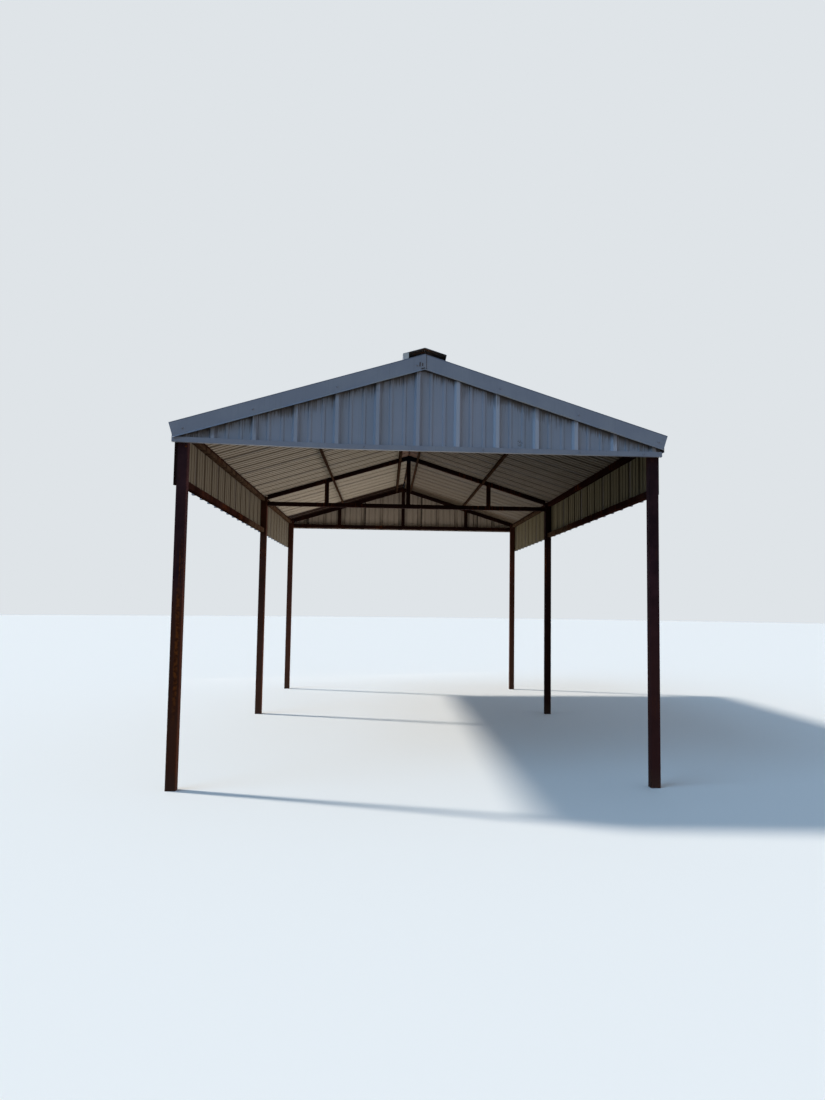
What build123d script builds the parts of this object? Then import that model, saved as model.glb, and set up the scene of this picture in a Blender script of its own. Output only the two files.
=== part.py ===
from build123d import *
import math
import os

os.makedirs("parts", exist_ok=True)

# Welded steel carport, 12 ft wide and 24 ft long, in millimetres.
# Origin on the ground at the middle of the plan, X across the width, Y along the length, Z up.
# The front gable faces -Y.

# Frame
frame_width = 3658.0         # over the outer faces of the posts, 12 ft
front_bay = 4267.0           # front post to middle post, centre to centre, 14 ft
rear_bay = 3048.0            # middle post to rear post, centre to centre, 10 ft
eave_height = 2668.0         # ground to the top of the posts
roof_pitch = 3.7 / 12.0      # rise over run
tie_drop = 108.0             # top of the posts to the underside of the truss ties

# Steel tube: square posts, and lighter square tube for the rest of the frame
post_size = 76.2
post_wall = 3.0
post_corner = 5.0
tube_size = 50.8
tube_wall = 2.4
tube_corner = 3.5
purlin_width = 25.4          # the purlins are 1 by 2 in tube on edge

# Places of the lighter members, from the centre line
strut_place = 1022.0
middle_purlin_place = 955.0
ridge_purlin_place = 120.0
rail_drop = 443.0            # top of the posts to the underside of the side rails

# Ribbed steel sheet: high ribs one foot apart, with two low stiffening ribs between
sheet_gauge = 2.0
rib_pitch = 304.8
rib_height = 32.0
rib_foot = 62.0
rib_crest = 26.0
low_rib_height = 7.0
low_rib_foot = 32.0
low_rib_crest = 17.0
low_ribs_between = 2

# How the sheets lie on the frame
skirt_lap = 5.0              # bottom edge of the skirts above the underside of the side rails
skirt_rib_start_left = 62.0  # first high rib from the front edge of the left skirt
skirt_rib_start_right = 200.0
gable_drop_front = 38.0      # bottom edge of the gable sheet below the tie, front
gable_drop_rear = 12.0       # the same at the rear
gable_rib_shift = -47.0      # the middle high rib of a gable stands a little left of the ridge
gable_short = 18.0           # the gable sheets and their trims end this much short on the right
roof_overhang = 49.0         # eave edge of the roof sheets past the posts, level
roof_rib_start = 60.0        # first high rib from the end of a roof sheet
ridge_slot = 12.0            # centre line to the upper edge of each roof sheet, level
cladding_gap = 2.0           # clear space where a sheet ends under or beside another

# Flashings, folded from flat sheet
flashing_gauge = 2.0
flashing_gap = 2.5           # clear space between a flashing and the ribs it covers
rake_face = 120.0
rake_cover = 80.0            # leg of the rake that lies over the roof ribs
rake_overrun = 4.0           # past the eave edge of the roof sheet, along the slope
rake_kick = 12.0             # outward fold at the foot of the face
gable_trim_face = 38.0
front_trim_bend = -610.0     # the front trim runs uphill from here to its left end
front_trim_rise = 22.0
eave_trim_face = 100.0
eave_trim_leg = 26.0

# Vent over the ridge, a folded cap with open ends
vent_half_width = 168.0
vent_lift = 55.0             # ridge of the vent above the ridge of the rakes
vent_lean = 10.0             # each side leans in by this much towards its foot
vent_gauge = 3.0
vent_setback = 20.0          # behind the face of each rake
vent_tab_width = 42.0

# What follows from these
slope = math.atan(roof_pitch)
half_width = frame_width / 2
half_length = (front_bay + rear_bay + post_size) / 2
ridge_height = eave_height + roof_pitch * half_width
post_place = half_width - post_size / 2
beam_place = half_width - tube_size / 2
post_inner_face = half_width - post_size
tie_height = eave_height - tie_drop
tie_top = tie_height + tube_size
rail_height = eave_height - rail_drop
skirt_foot = rail_height + skirt_lap
skirt_face = half_width + rib_height
trim_face = skirt_face + flashing_gap + flashing_gauge
sheet_half_length = half_length + rib_height
rake_inner = sheet_half_length + flashing_gap
rake_outer = rake_inner + flashing_gauge
rake_top = rib_height + flashing_gauge
sheet_start = ridge_slot / math.cos(slope)
sheet_end = (half_width + roof_overhang) / math.cos(slope)

sides = {"left": -1, "right": 1}
ends = {"front": -1, "rear": 1}

middle_line = front_bay - half_length + post_size / 2
post_lines = {"front": post_size / 2 - half_length, "middle": middle_line,
              "rear": half_length - post_size / 2}
truss_lines = {"front": tube_size / 2 - half_length, "middle": middle_line,
               "rear": half_length - tube_size / 2}


def roof_level(x, above=0.0):
    """Height at x of a line that lies above a roof slope, measured square to it."""
    return ridge_height - roof_pitch * abs(x) + above / math.cos(slope)


def slope_plane(side, along=0.0, above=0.0, y=0.0):
    """Plane square to a roof slope: its normal runs down the slope, its own Y points up
    from the roof and its own X lies along the building, towards the rear on the right."""
    x = along * math.cos(slope) + above * math.sin(slope)
    z = ridge_height - along * math.sin(slope) + above * math.cos(slope)
    down = (side * math.cos(slope), 0, -math.sin(slope))
    return Plane(origin=(side * x, y, z), x_dir=(0, side, 0), z_dir=down)


def under_roof(solid, side, above):
    """The part of a solid that lies under one roof slope."""
    normal = (side * math.sin(slope), 0, math.cos(slope))
    cut = Plane(origin=(0, 0, roof_level(0, above)), z_dir=normal)
    return split(solid, bisect_by=cut, keep=Keep.BOTTOM)


def between_x(solid, one, other):
    """The part of a solid between two upright planes across the width."""
    low, high = sorted((one, other))
    solid = split(solid, bisect_by=Plane(origin=(low, 0, 0), z_dir=(1, 0, 0)), keep=Keep.TOP)
    return split(solid, bisect_by=Plane(origin=(high, 0, 0), z_dir=(1, 0, 0)), keep=Keep.BOTTOM)


def steel_tube(width, depth, wall, corner, length):
    """A tube that stands on the origin, width along X and depth along Y, its outer corners broken."""
    outer = Rectangle(width, depth)
    outer = chamfer(outer.vertices(), corner)
    bore = Rectangle(width - 2 * wall, depth - 2 * wall)
    return extrude(outer - bore, length)


def light_tube(length, width=tube_size):
    """The lighter tube of the trusses, purlins, beams and rails."""
    return steel_tube(width, tube_size, tube_wall, tube_corner, length)


def upright_tube(x, y, foot, top):
    """A light tube that stands at x, y."""
    return Pos(x, y, foot) * light_tube(top - foot)


def lengthwise_tube(x, z, start, end, turn=0.0, width=tube_size):
    """A light tube along the building, turned about its own length."""
    return Pos(x, start, z) * Rot(0, turn, 0) * Rot(-90, 0, 0) * light_tube(end - start, width)


def rib_points(foot, crest, low, high):
    """Points of one face of a rib, about its own middle."""
    return [(-foot / 2, low), (-crest / 2, high), (crest / 2, high), (foot / 2, low)]


def ribbed_line(length, first_rib, lift, crest):
    """Points of one face of a ribbed sheet, edge to edge, with the flats at lift."""
    low_step = rib_pitch / (low_ribs_between + 1)
    high_rib = rib_points(rib_foot, rib_crest, lift, crest)
    low_rib = rib_points(low_rib_foot, low_rib_crest, lift, lift + low_rib_height)
    points = [(0.0, lift)]
    for step in range(-low_ribs_between, math.ceil(length / low_step)):
        centre = first_rib + step * low_step
        rib = low_rib if step % (low_ribs_between + 1) else high_rib
        reach = rib[-1][0]
        if centre > reach and centre < length - reach:
            points += [(centre + across, height) for across, height in rib]
    points.append((length, lift))
    return points


def ribbed_section(length, first_rib):
    """Section of a ribbed sheet: flats on the X axis, ribs towards +Y, rib_height over all."""
    inner = ribbed_line(length, first_rib, 0.0, rib_height - sheet_gauge)
    outer = ribbed_line(length, first_rib, sheet_gauge, rib_height)
    return make_face(Polyline(*inner, *reversed(outer), close=True))


def folded_section(points):
    """Section of a folded flashing from its corners in order."""
    return make_face(Polyline(*points, close=True))


def write_node(name, *solids):
    """Write one node: a solid, or like solids that stand apart."""
    shape = solids[0] if len(solids) == 1 else Compound(children=list(solids))
    shape.label = name
    export_step(shape, f"parts/{name}.step")


def make_posts():
    """Six square posts, plain at the foot, cut level at the eave."""
    for row, line in post_lines.items():
        for side_name, side in sides.items():
            post = steel_tube(post_size, post_size, post_wall, post_corner, eave_height)
            write_node(f"post_{row}_{side_name}", Pos(side * post_place, line, 0) * post)


def make_trusses():
    """Three trusses: rafters mitred at the ridge, a tie, a king post and two struts."""
    for row, line in truss_lines.items():
        for side_name, side in sides.items():
            start = slope_plane(side, -tube_size, -tube_size / 2, line)
            rafter = start * light_tube(half_width / math.cos(slope) + tube_size)
            write_node(f"rafter_{row}_{side_name}", between_x(rafter, 0.0, side * post_inner_face))
        tie = Rot(0, 90, 0) * light_tube(2 * post_inner_face)
        write_node(f"tie_{row}", Pos(-post_inner_face, line, tie_height + tube_size / 2) * tie)
        king = upright_tube(0, line, tie_top, ridge_height)
        for side in sides.values():
            king = under_roof(king, side, -tube_size)
        write_node(f"king_post_{row}", king)
        struts = [under_roof(upright_tube(side * strut_place, line, tie_top, ridge_height), side, -tube_size)
                  for side in sides.values()]
        write_node(f"struts_{row}", *struts)


def make_purlins():
    """Narrow tubes on edge under the roof sheets, tilted with the roof, one length in each bay."""
    bays = [(truss_lines["front"] + tube_size / 2, middle_line - tube_size / 2),
            (middle_line + tube_size / 2, truss_lines["rear"] - tube_size / 2)]
    for side_name, side in sides.items():
        turn = side * math.degrees(slope)
        for purlin_name, place in (("middle", middle_purlin_place), ("ridge", ridge_purlin_place)):
            centre = slope_plane(side, place / math.cos(slope), -tube_size / 2).origin
            lengths = [lengthwise_tube(centre.X, centre.Z, start, end, turn, purlin_width)
                       for start, end in bays]
            write_node(f"{purlin_name}_purlin_{side_name}", *lengths)


def make_beams():
    """Eave beams in both bays and side rails in the front bay, flush with the posts outside."""
    bays = [(post_lines["front"] + post_size / 2, middle_line - post_size / 2),
            (middle_line + post_size / 2, post_lines["rear"] - post_size / 2)]
    for side_name, side in sides.items():
        x = side * beam_place
        beams = [lengthwise_tube(x, eave_height - tube_size / 2, start, end) for start, end in bays]
        write_node(f"eave_beam_{side_name}", *beams)
        write_node(f"side_rail_{side_name}", lengthwise_tube(x, rail_height + tube_size / 2, *bays[0]))


def make_skirts():
    """Ribbed sheet upright along each side, flats against the posts, ribs outwards."""
    top = roof_level(skirt_face) - flashing_gauge - 2 * cladding_gap
    hang = Plane(origin=(half_width, -half_length, top), x_dir=(0, 1, 0), z_dir=(0, 0, -1))
    left = extrude(hang * ribbed_section(2 * half_length, skirt_rib_start_left), top - skirt_foot)
    right = extrude(hang * ribbed_section(2 * half_length, skirt_rib_start_right), top - skirt_foot)
    write_node("skirt_left", mirror(left, about=Plane.YZ))
    write_node("skirt_right", right)


def gable_strip(end, start, depth, foot, height, rise):
    """A strip across a gable, level as far as the bend and then uphill to its left end."""
    right = trim_face - gable_short
    line = [(-trim_face, foot + rise), (front_trim_bend, foot), (right, foot)]
    above = [(x, z + height) for x, z in reversed(line)]
    stand = Plane(origin=(0, end * start, 0), x_dir=(1, 0, 0), z_dir=(0, -1, 0))
    return extrude(stand * make_face(Polyline(*line, *above, close=True)), -end * depth)


def make_gables():
    """Ribbed sheet over each end truss, ribs upright, with an angle trim along its foot."""
    first_rib = (skirt_face + gable_rib_shift) % rib_pitch
    for end_name, end in ends.items():
        foot = tie_height - (gable_drop_front if end < 0 else gable_drop_rear)
        rise = front_trim_rise if end < 0 else 0.0
        start = ridge_height if end < 0 else foot
        stand = Plane(origin=(-skirt_face, end * half_length, start), x_dir=(1, 0, 0), z_dir=(0, 0, end))
        sheet = extrude(stand * ribbed_section(2 * skirt_face - gable_short, first_rib), ridge_height - foot)
        for side in sides.values():
            sheet = under_roof(sheet, side, -cladding_gap)
        if rise:
            sheet -= gable_strip(end, half_length, rib_height, foot - gable_trim_face, gable_trim_face, rise)
        write_node(f"gable_{end_name}", sheet)

        low = foot - flashing_gauge
        leg = gable_strip(end, half_length, rib_height, low, flashing_gauge, rise)
        face = gable_strip(end, sheet_half_length, flashing_gauge, low, gable_trim_face, rise)
        write_node(f"gable_trim_{end_name}", leg + face)


def make_roof():
    """Ribbed sheet down each slope, from the slot at the ridge to past the eave beam."""
    for side_name, side in sides.items():
        section = Pos(-sheet_half_length, 0) * ribbed_section(2 * sheet_half_length, roof_rib_start)
        sheet = extrude(slope_plane(side, sheet_start) * section, sheet_end - sheet_start)
        write_node(f"roof_{side_name}", sheet)


def make_rakes():
    """Folded fascia up each gable slope: a leg over the ribs, a face and a kicked-out foot."""
    foot = rake_top - rake_face
    corners = [(rake_outer - rake_cover, rib_height), (rake_inner, rib_height), (rake_inner, foot + rake_kick),
               (rake_inner + rake_kick, foot), (rake_outer + rake_kick, foot), (rake_outer, foot + rake_kick),
               (rake_outer, rake_top), (rake_outer - rake_cover, rake_top)]
    for end_name, end in ends.items():
        for side_name, side in sides.items():
            section = folded_section([(end * side * out, up) for out, up in corners])
            length = sheet_end + rake_overrun
            rake = extrude(slope_plane(side, -rake_face) * section, length + rake_face)
            write_node(f"rake_{end_name}_{side_name}", between_x(rake, 0.0, side * frame_width))


def make_eave_trims():
    """Angle flashing under each eave edge, down over the head of the skirt."""
    inner = trim_face - flashing_gauge
    leg_end = trim_face - eave_trim_leg
    foot = roof_level(trim_face) - eave_trim_face
    corners = [(trim_face, foot), (trim_face, roof_level(trim_face)), (leg_end, roof_level(leg_end)),
               (leg_end, roof_level(leg_end, -flashing_gauge)), (inner, roof_level(inner, -flashing_gauge)),
               (inner, foot)]
    across = Plane(origin=(0, sheet_half_length, 0), x_dir=(1, 0, 0), z_dir=(0, -1, 0))
    for side_name, side in sides.items():
        section = folded_section([(side * x, z) for x, z in corners])
        write_node(f"eave_trim_{side_name}", extrude(across * section, 2 * sheet_half_length))


def make_ridge_vent():
    """Folded cap over the ridge slot, standing on the rakes, with a part-closed front end."""
    crown = roof_level(0, rake_top) + vent_lift
    thin = vent_gauge / math.cos(slope)
    foot = vent_half_width - vent_lean

    def outside(x):
        return (x, crown - roof_pitch * abs(x))

    def inside(x):
        return (x, crown - thin - roof_pitch * abs(x))

    def standing(x):
        return (x, roof_level(x, rake_top))

    edge = vent_half_width
    inner_edge = edge - vent_gauge
    inner_foot = foot - vent_gauge
    corners = [standing(-foot), outside(-edge), outside(0), outside(edge), standing(foot),
               standing(inner_foot), inside(inner_edge), inside(0), inside(-inner_edge), standing(-inner_foot)]
    reach = rake_outer - vent_setback
    across = Plane(origin=(0, reach, 0), x_dir=(1, 0, 0), z_dir=(0, -1, 0))
    write_node("ridge_vent", extrude(across * folded_section(corners), 2 * reach))

    tab = [standing(-inner_foot), inside(-inner_edge), inside(vent_tab_width - inner_edge),
           standing(vent_tab_width - inner_edge)]
    front = Plane(origin=(0, -reach, 0), x_dir=(1, 0, 0), z_dir=(0, -1, 0))
    write_node("ridge_vent_tab", extrude(front * folded_section(tab), -flashing_gauge))


make_posts()
make_trusses()
make_purlins()
make_beams()
make_skirts()
make_gables()
make_roof()
make_rakes()
make_eave_trims()
make_ridge_vent()
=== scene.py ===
import math
import random

import bmesh
import bpy
from mathutils import Matrix, Vector


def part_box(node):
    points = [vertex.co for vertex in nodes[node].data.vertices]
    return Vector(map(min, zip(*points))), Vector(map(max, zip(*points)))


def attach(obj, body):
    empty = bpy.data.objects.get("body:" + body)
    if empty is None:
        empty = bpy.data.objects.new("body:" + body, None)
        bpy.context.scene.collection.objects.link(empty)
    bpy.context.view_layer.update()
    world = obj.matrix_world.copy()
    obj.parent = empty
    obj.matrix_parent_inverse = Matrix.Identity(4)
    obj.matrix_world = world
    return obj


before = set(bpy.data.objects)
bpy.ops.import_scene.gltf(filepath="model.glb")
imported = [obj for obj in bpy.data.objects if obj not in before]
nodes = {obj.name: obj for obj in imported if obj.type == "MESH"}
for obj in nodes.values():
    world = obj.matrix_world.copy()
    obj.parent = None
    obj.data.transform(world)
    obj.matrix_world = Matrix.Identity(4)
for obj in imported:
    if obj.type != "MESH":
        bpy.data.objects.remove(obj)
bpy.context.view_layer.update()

random.seed(11)


# The picture. The camera stands a little left of the middle, as high as a person's chest, and
# looks slightly up under the roof, with the lens of a phone held upright.
camera_place = Vector((-0.2729, -10.069, 1.3736))
camera_turn = 0.0812
camera_lift = 0.0798
camera_roll = 0.0114
lens_in_pixels = 847.7
picture_height = 1100
middle_right = 42.2
middle_up = 14.6
sensor_width = 36.0

ahead = Vector((math.sin(camera_turn) * math.cos(camera_lift),
                math.cos(camera_turn) * math.cos(camera_lift), math.sin(camera_lift)))
level = Vector((math.cos(camera_turn), -math.sin(camera_turn), 0.0))
above = level.cross(ahead)
right = level * math.cos(camera_roll) + above * math.sin(camera_roll)
up = above * math.cos(camera_roll) - level * math.sin(camera_roll)

camera = bpy.data.objects.new("camera", bpy.data.cameras.new("camera"))
bpy.context.collection.objects.link(camera)
camera.data.sensor_width = sensor_width
camera.data.lens = sensor_width * lens_in_pixels / picture_height
camera.data.shift_x = -middle_right / picture_height
camera.data.shift_y = -middle_up / picture_height
stance = Matrix((right, up, -ahead)).transposed().to_4x4()
camera.matrix_world = Matrix.Translation(camera_place) @ stance
bpy.context.scene.camera = camera
bpy.context.scene.view_settings.view_transform = "Standard"


# The pale floor and the light. The main lamp is high on the left and a little behind, and a broad
# cool one in front is the glow of the sky. Warm lamps below are what sunlit ground throws up. The
# floor looks pale but throws up little light itself, as grass does.
floor_radius = 70.0
floor_colour = "#FAF4E8"
ground_colour = "#454239"

# Each sun: the side that it shines from, its strength, its width in degrees and its colour
lamps = {"sun_lamp": ((-1.148, 0.42, 1.0), 2.8, 5.0, "#FFFFFF"),
         "sky_lamp": ((-0.7, -0.45, 0.6), 1.0, 40.0, "#9BCCFF"),
         "right_ground_lamp": ((1.0, 0.35, -0.35), 1.7, 50.0, "#FFEBE1"),
         "right_front_ground_lamp": ((1.0, -0.35, -0.35), 0.5, 60.0, "#FFEBE1"),
         "front_ground_lamp": ((0.2, -1.0, -0.25), 0.2, 50.0, "#FFF2E6")}

# Each lit patch: its place, the way that it faces, its size and its power
ground_lamps = {"rear_ground_lamp": ((-1.0, 6.2, 0.02), (0.1, -0.3, 1.0), (6.0, 4.0), 210.0),
                "middle_ground_lamp": ((-0.4, 1.5, 0.02), (0.0, 0.0, 1.0), (2.2, 2.2), 26.0)}
ground_lamp_colour = "#FFEDDC"
sky_colour = "#B9D8FF"
sky_strength = 0.40
backdrop_colour = "#DFE4E8"


def linear(colour):
    """An sRGB hex colour as the linear colour that a socket takes."""
    parts = [int(colour[i:i + 2], 16) / 255 for i in (1, 3, 5)]
    return [c / 12.92 if c <= 0.04045 else ((c + 0.055) / 1.055) ** 2.4 for c in parts] + [1.0]


def given_by(node):
    """The socket of the colour that a node mixes, or else the first one that it gives."""
    return node.outputs[2 if node.bl_idname == "ShaderNodeMix" else 0]


def add(tree, kind, inputs=None, **settings):
    """Adds a shader node with its settings. An input that is given a socket or another node is
    linked to it."""
    made = tree.nodes.new("ShaderNode" + kind)
    for name, value in settings.items():
        setattr(made, name, value)
    for key, value in (inputs or {}).items():
        if isinstance(value, bpy.types.Node):
            value = given_by(value)
        if isinstance(value, bpy.types.NodeSocket):
            tree.links.new(value, made.inputs[key])
        else:
            made.inputs[key].default_value = value
    return made


def new_material(name, **constants):
    """A material of one plain shader. Gives the material, its node tree, its shader and the
    place on the object."""
    material = bpy.data.materials.new(name)
    material.use_nodes = True
    tree = material.node_tree
    shader = tree.nodes["Principled BSDF"]
    for socket, value in constants.items():
        shader.inputs[socket.replace("_", " ")].default_value = value
    place = add(tree, "TexCoord").outputs["Object"]
    return material, tree, shader, place


def feed(tree, shader, **patterns):
    """Links patterns to the inputs of a shader."""
    for socket, pattern in patterns.items():
        tree.links.new(given_by(pattern), shader.inputs[socket.replace("_", " ")])


def piece_from(mesh, name, *materials):
    """Makes an object of a bmesh, with its place in its mesh."""
    data = bpy.data.meshes.new(name)
    mesh.to_mesh(data)
    mesh.free()
    piece = bpy.data.objects.new(name, data)
    bpy.context.collection.objects.link(piece)
    for material in materials:
        data.materials.append(material)
    return piece


def seen_by_eye(tree):
    """1 for light that the camera sees straight, in a mirror or through glass, and 0 for light
    that is thrown on."""
    path = add(tree, "LightPath")
    seen = add(tree, "Math", {0: path.outputs["Is Camera Ray"], 1: path.outputs["Is Glossy Ray"]},
               operation="MAXIMUM")
    return add(tree, "Math", {0: seen, 1: path.outputs["Is Transmission Ray"]},
               operation="MAXIMUM")


# Matt paint, pale to the eye and dull to the light that falls on it
shape = bmesh.new()
bmesh.ops.create_circle(shape, cap_ends=True, segments=96, radius=floor_radius)
floor_paint, tree, shader, place = new_material("pale_floor_paint", Roughness=0.9,
                                                Specular_IOR_Level=0.1)
seen = seen_by_eye(tree)
colour = add(tree, "Mix", {0: seen, 6: linear(ground_colour), 7: linear(floor_colour)},
             data_type="RGBA")
feed(tree, shader, Base_Color=colour)
floor = piece_from(shape, "floor", floor_paint)
floor.visible_shadow = False

for name, (stand, strength, width, colour) in lamps.items():
    lamp = bpy.data.objects.new(name, bpy.data.lights.new(name, "SUN"))
    bpy.context.collection.objects.link(lamp)
    lamp.data.energy = strength
    lamp.data.angle = math.radians(width)
    lamp.data.color = linear(colour)[:3]
    lamp.rotation_mode = "QUATERNION"
    lamp.rotation_quaternion = Vector(stand).to_track_quat("Z", "Y")

for name, (stand, faces, size, power) in ground_lamps.items():
    lamp = bpy.data.objects.new(name, bpy.data.lights.new(name, "AREA"))
    bpy.context.collection.objects.link(lamp)
    lamp.data.shape = "RECTANGLE"
    lamp.data.size, lamp.data.size_y = size
    lamp.data.energy = power
    lamp.data.color = linear(ground_lamp_colour)[:3]
    lamp.location = stand
    lamp.rotation_mode = "QUATERNION"
    lamp.rotation_quaternion = (-Vector(faces)).to_track_quat("Z", "Y")
    lamp.visible_camera = False
    lamp.visible_glossy = False

world = bpy.data.worlds.new("even_sky")
bpy.context.scene.world = world
world.use_nodes = True
tree = world.node_tree
tree.nodes.clear()
seen = seen_by_eye(tree)
fill = add(tree, "Background", {"Color": linear(sky_colour), "Strength": sky_strength})
backdrop = add(tree, "Background", {"Color": linear(backdrop_colour), "Strength": 1.0})
both = add(tree, "MixShader", {0: seen, 1: fill, 2: backdrop})
add(tree, "OutputWorld", {"Surface": both})


# The frame: six 76 mm posts and 51 mm members of square steel tube, brushed with red-oxide
# primer. It is dark, dull and chalky, with rust bleeding down the faces where it has worn thin.
primer_dark = "#1E110F"
primer_light = "#2A1815"
primer_chalk = "#3A2721"
primer_worn = "#36211D"
primer_sunned = "#40282A"
primer_plum = "#29191D"
primer_bright = "#4C2E31"
primer_faded = "#4F2F28"
primer_brown = "#41291E"
foot_brown = "#4C2B19"
foot_tan = "#684432"
foot_red = "#43251F"
rust_bright = "#6E3B17"
rust_deep = "#432010"
dust_colour = "#54483A"
brush_width = 0.012
rust_speck = 0.006
scale_blue = "#0D1522"
scale_reach = 0.11
weld_peak = (0.0, (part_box("tie_middle")[0].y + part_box("tie_middle")[1].y) / 2,
             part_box("rafter_middle_left")[1].z)
knock = (-1.766, -3.696, 2.515)
knock_radius = 0.011


def primer(name, dark=primer_dark, light=primer_light, shine=0.04, wear=0.0,
           dust_and_shade_top=None, dust_from=None, dust=0.75, ground_glow=None, rust_run=None):
    """Red-oxide primer. Wear lets more rust through. Dust lies on it below its top, with a band
    just under the top left dark as painted shade, and behind the place where it begins. Ground
    glow gives the colour of its lower part, how strong that is, and where it ends and is full:
    painted warm light thrown up from the ground. A rust run is the x of its middle, its half
    width and its lowest and highest point."""
    material, tree, shader, place = new_material(name, Metallic=0.0, IOR=1.5,
                                                 Specular_IOR_Level=shine)
    cloud = add(tree, "TexNoise",
                {"Vector": place, "Scale": 1 / 0.3, "Detail": 5.0, "Roughness": 0.6})
    cloudy = add(tree, "MapRange", {0: cloud, 1: 0.36, 2: 0.64})
    colour = add(tree, "Mix", {0: cloudy, 6: linear(dark), 7: linear(light)}, data_type="RGBA")

    # Brush marks and runs, drawn out along the height
    drawn = add(tree, "Mapping",
                {"Vector": place, "Scale": (1 / brush_width, 1 / brush_width, 1.4)})
    marks = add(tree, "TexNoise", {"Vector": drawn, "Scale": 1.0, "Detail": 4.0})
    chalky = add(tree, "MapRange", {0: marks, 1: 0.52, 2: 0.75, 4: 0.45})
    colour = add(tree, "Mix", {0: chalky, 6: colour, 7: linear(primer_chalk)}, data_type="RGBA")

    axes = add(tree, "SeparateXYZ", {0: place})
    # Lower part tinted brown or tan: painted warm light thrown up from the ground
    if ground_glow:
        tone, most, top, full = ground_glow
        lower = add(tree, "MapRange", {0: axes.outputs[2], 1: top, 2: full, 4: most})
        patchy = add(tree, "MapRange", {0: cloud, 1: 0.3, 2: 0.6, 3: 0.7})
        lower = add(tree, "Math", {0: lower, 1: patchy}, operation="MULTIPLY")
        colour = add(tree, "Mix", {0: lower, 6: colour, 7: linear(tone)}, data_type="RGBA")

    # Rust where the primer is thin: long stains, then small specks
    worn = add(tree, "TexNoise", {"Vector": place, "Scale": 1 / 0.45, "Detail": 3.0})
    worn = add(tree, "MapRange", {0: worn, 1: 0.52 - wear, 2: 0.70 - wear})
    stain = add(tree, "MapRange", {0: marks, 1: 0.50 - wear / 2, 2: 0.62})
    stain = add(tree, "Math", {0: stain, 1: worn}, operation="MULTIPLY")
    specks = add(tree, "TexNoise", {"Vector": place, "Scale": 1 / rust_speck, "Detail": 2.0})
    specks = add(tree, "MapRange", {0: specks, 1: 0.68 - wear / 3, 2: 0.74, 4: 0.7})
    rust = add(tree, "Math", {0: stain, 1: specks}, operation="MAXIMUM")
    if rust_run:
        # One long run of rust, and a knock at the head of the post that has rusted too
        middle, half, low, high = rust_run
        sway = add(tree, "Mapping", {"Vector": place, "Scale": (0.0, 0.0, 3.0)})
        sway = add(tree, "TexNoise", {"Vector": sway, "Scale": 1.0, "Detail": 2.0})
        sway = add(tree, "MapRange", {0: sway, 3: middle - half, 4: middle + half})
        off = add(tree, "Math", {0: axes.outputs[0], 1: sway}, operation="SUBTRACT")
        off = add(tree, "Math", {0: off}, operation="ABSOLUTE")
        across = add(tree, "MapRange", {0: off, 1: half, 2: half / 3})
        foot = add(tree, "MapRange", {0: axes.outputs[2], 1: low, 2: low + 0.3})
        head = add(tree, "MapRange", {0: axes.outputs[2], 1: high, 2: high - 0.12})
        run = add(tree, "Math", {0: across, 1: foot}, operation="MULTIPLY")
        run = add(tree, "Math", {0: run, 1: head}, operation="MULTIPLY")
        rust = add(tree, "Math", {0: rust, 1: run}, operation="MAXIMUM")
        spot = add(tree, "VectorMath", {0: place, 1: knock}, operation="DISTANCE")
        spot = add(tree, "MapRange",
                   {0: spot.outputs["Value"], 1: knock_radius, 2: knock_radius / 2})
        rust = add(tree, "Math", {0: rust, 1: spot}, operation="MAXIMUM")
    hue = add(tree, "TexNoise", {"Vector": place, "Scale": 1 / 0.02, "Detail": 3.0})
    hue = add(tree, "MapRange", {0: hue, 1: 0.4, 2: 0.6})
    rusty = add(tree, "Mix", {0: hue, 6: linear(rust_deep), 7: linear(rust_bright)},
                data_type="RGBA")
    colour = add(tree, "Mix", {0: rust, 6: colour, 7: rusty}, data_type="RGBA")

    # Dark blue scale round the weld at the peak of the middle truss
    scale = add(tree, "VectorMath", {0: place, 1: weld_peak}, operation="DISTANCE")
    scale = add(tree, "MapRange",
                {0: scale.outputs["Value"], 1: scale_reach, 2: scale_reach - 0.015, 4: 0.85})
    colour = add(tree, "Mix", {0: scale, 6: colour, 7: linear(scale_blue)}, data_type="RGBA")
    if dust_and_shade_top:
        dust_and_light_tone = add(tree, "TexNoise",
                    {"Vector": place, "Scale": 1 / 0.09, "Detail": 5.0, "Roughness": 0.65})
        dust_and_light_tone = add(tree, "MapRange", {0: dust_and_light_tone, 1: 0.38, 2: 0.58, 3: dust / 5, 4: dust})
        if dust_from:
            behind = add(tree, "MapRange", {0: axes.outputs[1], 1: dust_from, 2: dust_from + 0.5})
            dust_and_light_tone = add(tree, "Math", {0: dust_and_light_tone, 1: behind}, operation="MULTIPLY")
        # Dust stops short of the top, leaving a dark band there: painted shade of the roof sheet
        # above
        under = add(tree, "MapRange",
                    {0: axes.outputs[2], 1: dust_and_shade_top - 0.010, 2: dust_and_shade_top - 0.024})
        dust_and_light_tone = add(tree, "Math", {0: dust_and_light_tone, 1: under}, operation="MULTIPLY")
        colour = add(tree, "Mix", {0: dust_and_light_tone, 6: colour, 7: linear(dust_colour)}, data_type="RGBA")

    # Soil splashed up round the feet
    low_down = add(tree, "MapRange", {0: axes.outputs[2], 1: 0.16, 2: 0.0, 4: 0.6})
    soil = add(tree, "Math", {0: low_down, 1: cloud}, operation="MULTIPLY")
    colour = add(tree, "Mix", {0: soil, 6: colour, 7: linear(dust_colour)}, data_type="RGBA")

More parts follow.
